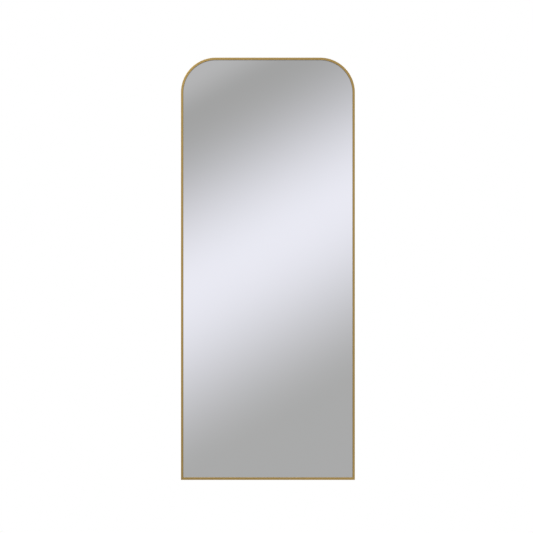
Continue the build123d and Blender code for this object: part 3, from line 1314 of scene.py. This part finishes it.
@dataclass
class Studio:
    """The plain studio round the mirror: floor, gradient card, lamps, sky and camera."""

    eye: Vector = field(default_factory=lambda: Vector((-0.0057, -5.0936, -0.5909)))
    lens_mm: float = 85.0
    sensor_mm: float = 36.0
    pane_set_back: float = 0.0064
    floor_z: float = -2.30
    floor_size: float = 60.0
    floor_paint: str = "#E6E6E6"
    pool_scale: Triple = (0.30, 0.30, 0.0)
    pool_shift: Triple = (0.0, 0.36, 0.0)
    pool_fade: Span = (0.35, 1.0)
    card_y: float = -5.00
    card_reach: Span = (10.0, 7.0)
    card_sweep: float = 1.8
    card_lift: float = 0.01
    card_steps: int = 16
    card_weld: float = 1e-5
    card_smooth_deg: float = 40.0
    rim_share: float = 0.4
    slant: float = 0.564
    tones: tuple[tuple[float, str], ...] = (
        (-2.1, "#E4E4E8"),
        (-1.6, "#B8B8BA"),
        (-1.0, "#DADADE"),
        (-0.355, "#B5B5B6"),
        (-0.193, "#A3A3A3"),
        (0.500, "#EAEAF3"),
        (1.265, "#AAAAAA"),
        (1.64, "#AAAAAA"),
        (2.0, "#FAFAFD"),
        (2.7, "#D8D8DC"),
        (3.4, "#DEDEE4"),
    )
    lamps: tuple[Lamp, ...] = (
        Lamp("soft_box_front", (-2.6, -3.4, 3.0)),
        Lamp("soft_box_back", (2.8, 3.4, 2.8)),
    )
    ambient: float = 0.50

    def build(self) -> None:
        """Sets up everything that isn't part of the mirror."""
        low, high = cad_box
        target = (low + high) / 2
        self.lay_floor()
        self.hang_card()
        for lamp in self.lamps:
            lamp.light(target)
        self.paint_sky()
        self.stand_camera()

    @property
    def glass_y(self) -> float:
        """Gives the place of the pane's front."""
        return cad_box[0].y + self.pane_set_back

    @staticmethod
    def seen(canvas: Canvas) -> Socket:
        """Gives 1 on rays from the camera, or by way of metal or glass, and else 0.

        Args:
            canvas: The canvas that asks.

        Returns:
            The socket with that value.
        """
        rays = add_node(canvas.tree, "LightPath", {}).outputs
        seen = rays["Is Camera Ray"]
        for name in ("Is Glossy Ray", "Is Transmission Ray"):
            seen = canvas.add("Math.MAXIMUM", {0: seen, 1: rays[name]})
        return seen

    def lay_floor(self) -> None:
        """Lays a pale floor that fades to white away from a pool in front of the mirror."""
        release()
        bpy.ops.mesh.primitive_plane_add(size=self.floor_size, location=(0.0, 0.0, self.floor_z))
        floor = newest("studio_floor")
        settle(floor)
        canvas = Canvas(bpy.data.materials.new("floor_paint_pale"))
        place = add_node(canvas.tree, "TexCoord", {}).outputs["Object"]
        pool = canvas.add(
            "VectorMath.MULTIPLY_ADD", {0: place, 1: self.pool_scale, 2: self.pool_shift}
        )
        away = canvas.add("VectorMath.LENGTH", {0: pool})
        near, far = self.pool_fade
        fade = canvas.add("MapRange.SMOOTHSTEP", {"Value": away, "From Min": near, "From Max": far})
        share = canvas.add("Math.MULTIPLY", {0: fade, 1: self.seen(canvas)})
        paint = canvas.add("BsdfDiffuse", {"Color": self.floor_paint})
        white = canvas.add("Emission", {"Color": WHITE, "Strength": 1.0})
        canvas.close(canvas.add("MixShader", {0: share, 1: paint, 2: white}))
        floor.data.materials.append(canvas.holder)

    def hang_card(self) -> None:
        """Hangs the card that the pane reflects: a wide sheet lit in slanting soft bands.

        It comes down in front of the mirror and sweeps along the floor to its foot. A point of
        the card shows in the pane where the line from the camera's image crosses the glass, and
        the bands' places are given there, on the pane.
        """
        wide, high = self.card_reach
        foot, sweep = self.floor_z + self.card_lift, self.card_sweep
        far = self.card_y + sweep
        release()
        bpy.ops.mesh.primitive_plane_add(size=1.0, location=(0.0, far / 2, foot))
        card = newest("gradient_card")
        card.scale = (2 * wide, -far, 1.0)
        settle(card)
        with editing(card):
            pick(card, "EDGE", all_at(1, far))
            bpy.ops.mesh.spin(
                steps=self.card_steps,
                angle=math.pi / 2,
                center=(0.0, far, foot + sweep),
                axis=(1.0, 0.0, 0.0),
            )
            pick(card, "EDGE", all_at(2, foot + sweep))
            extrude((0.0, 0.0, high - sweep))
            bpy.ops.mesh.select_all(action="SELECT")
            bpy.ops.mesh.remove_doubles(threshold=self.card_weld)
        bpy.ops.object.shade_smooth_by_angle(angle=math.radians(self.card_smooth_deg))
        card.visible_camera = card.visible_diffuse = card.visible_shadow = False
        card.data.materials.append(self.card_light())

    def card_light(self) -> Material:
        """Lights the card in bands, and fades them to white towards its rim.

        Returns:
            The card's material.
        """
        to_eye = self.glass_y - self.eye.y
        centre = self.slant * self.eye.x - self.eye.z
        start, end = self.tones[0][0], self.tones[-1][0]
        canvas = Canvas(bpy.data.materials.new("card_lit_in_bands"))
        place = add_node(canvas.tree, "TexCoord", {}).outputs["Object"]
        down = canvas.add("VectorMath.DOT_PRODUCT", {0: place, 1: (self.slant, 0.0, -1.0)})
        offset = canvas.add("Math.SUBTRACT", {0: down, 1: centre})
        axes = add_node(canvas.tree, "SeparateXYZ", {0: place}).outputs
        reach = canvas.add("Math.SUBTRACT", {0: to_eye + self.glass_y, 1: axes["Y"]})
        shrunk = canvas.add("Math.DIVIDE", {0: offset, 1: reach})
        on_pane = canvas.add("Math.MULTIPLY_ADD", {0: shrunk, 1: to_eye, 2: centre})
        share = canvas.add("MapRange", {"Value": on_pane, "From Min": start, "From Max": end})
        span, silver = end - start, linear(SilveredGlass.clear)
        stops = [
            ((u - start) / span, [a / b for a, b in zip(linear(tone), silver, strict=True)])
            for u, tone in self.tones
        ]
        bands = canvas.add("ValToRGB", {0: share, "stops": stops})
        wide, high = self.card_reach
        side, top = canvas.add("Math.ABSOLUTE", {0: axes["X"]}), self.floor_z + high
        edge, crown = (
            canvas.add(
                "MapRange.SMOOTHSTEP",
                {"Value": value, "From Min": end - size * self.rim_share, "From Max": end},
            )
            for value, size, end in ((side, wide, wide), (axes["Z"], high, top))
        )
        rim = canvas.add("Math.MAXIMUM", {0: edge, 1: crown})
        faded = canvas.add("Mix.RGBA", {0: rim, 6: bands, 7: WHITE})
        canvas.close(canvas.add("Emission", {"Strength": 1.0, "Color": faded}))
        return canvas.holder

    def paint_sky(self) -> None:
        """Makes the background white where it is seen, and an even pale light elsewhere."""
        world = bpy.data.worlds.new("studio")
        canvas = Canvas(world)
        plain, white = (
            canvas.add("Background", {"Color": WHITE, "Strength": strength})
            for strength in (self.ambient, 1.0)
        )
        canvas.close(canvas.add("MixShader", {0: self.seen(canvas), 1: plain, 2: white}))
        bpy.context.scene.world = world

    def stand_camera(self) -> None:
        """Stands the camera square to the mirror."""
        data = bpy.data.cameras.new("camera")
        data.lens, data.sensor_width = self.lens_mm, self.sensor_mm
        camera = bpy.data.objects.new("camera", data)
        camera.location = self.eye
        camera.rotation_euler = (math.pi / 2, 0.0, 0.0)
        bpy.context.scene.collection.objects.link(camera)
        bpy.context.scene.camera = camera
        bpy.context.scene.view_settings.view_transform = "Standard"


def main() -> None:
    """Builds the mirror's sub-assemblies and the studio, and reports each piece."""
    logging.basicConfig(level=logging.INFO, format="%(message)s")
    for kind in (FrameExtrusion, GlassPack, SpringClips, CornerJoints, Hangers, WallBumpers):
        for piece in kind().build():
            log.info("%s: %s, %d faces", kind.__name__, piece.name, len(piece.data.polygons))
    Studio().build()


if __name__ == "__main__":
    main()
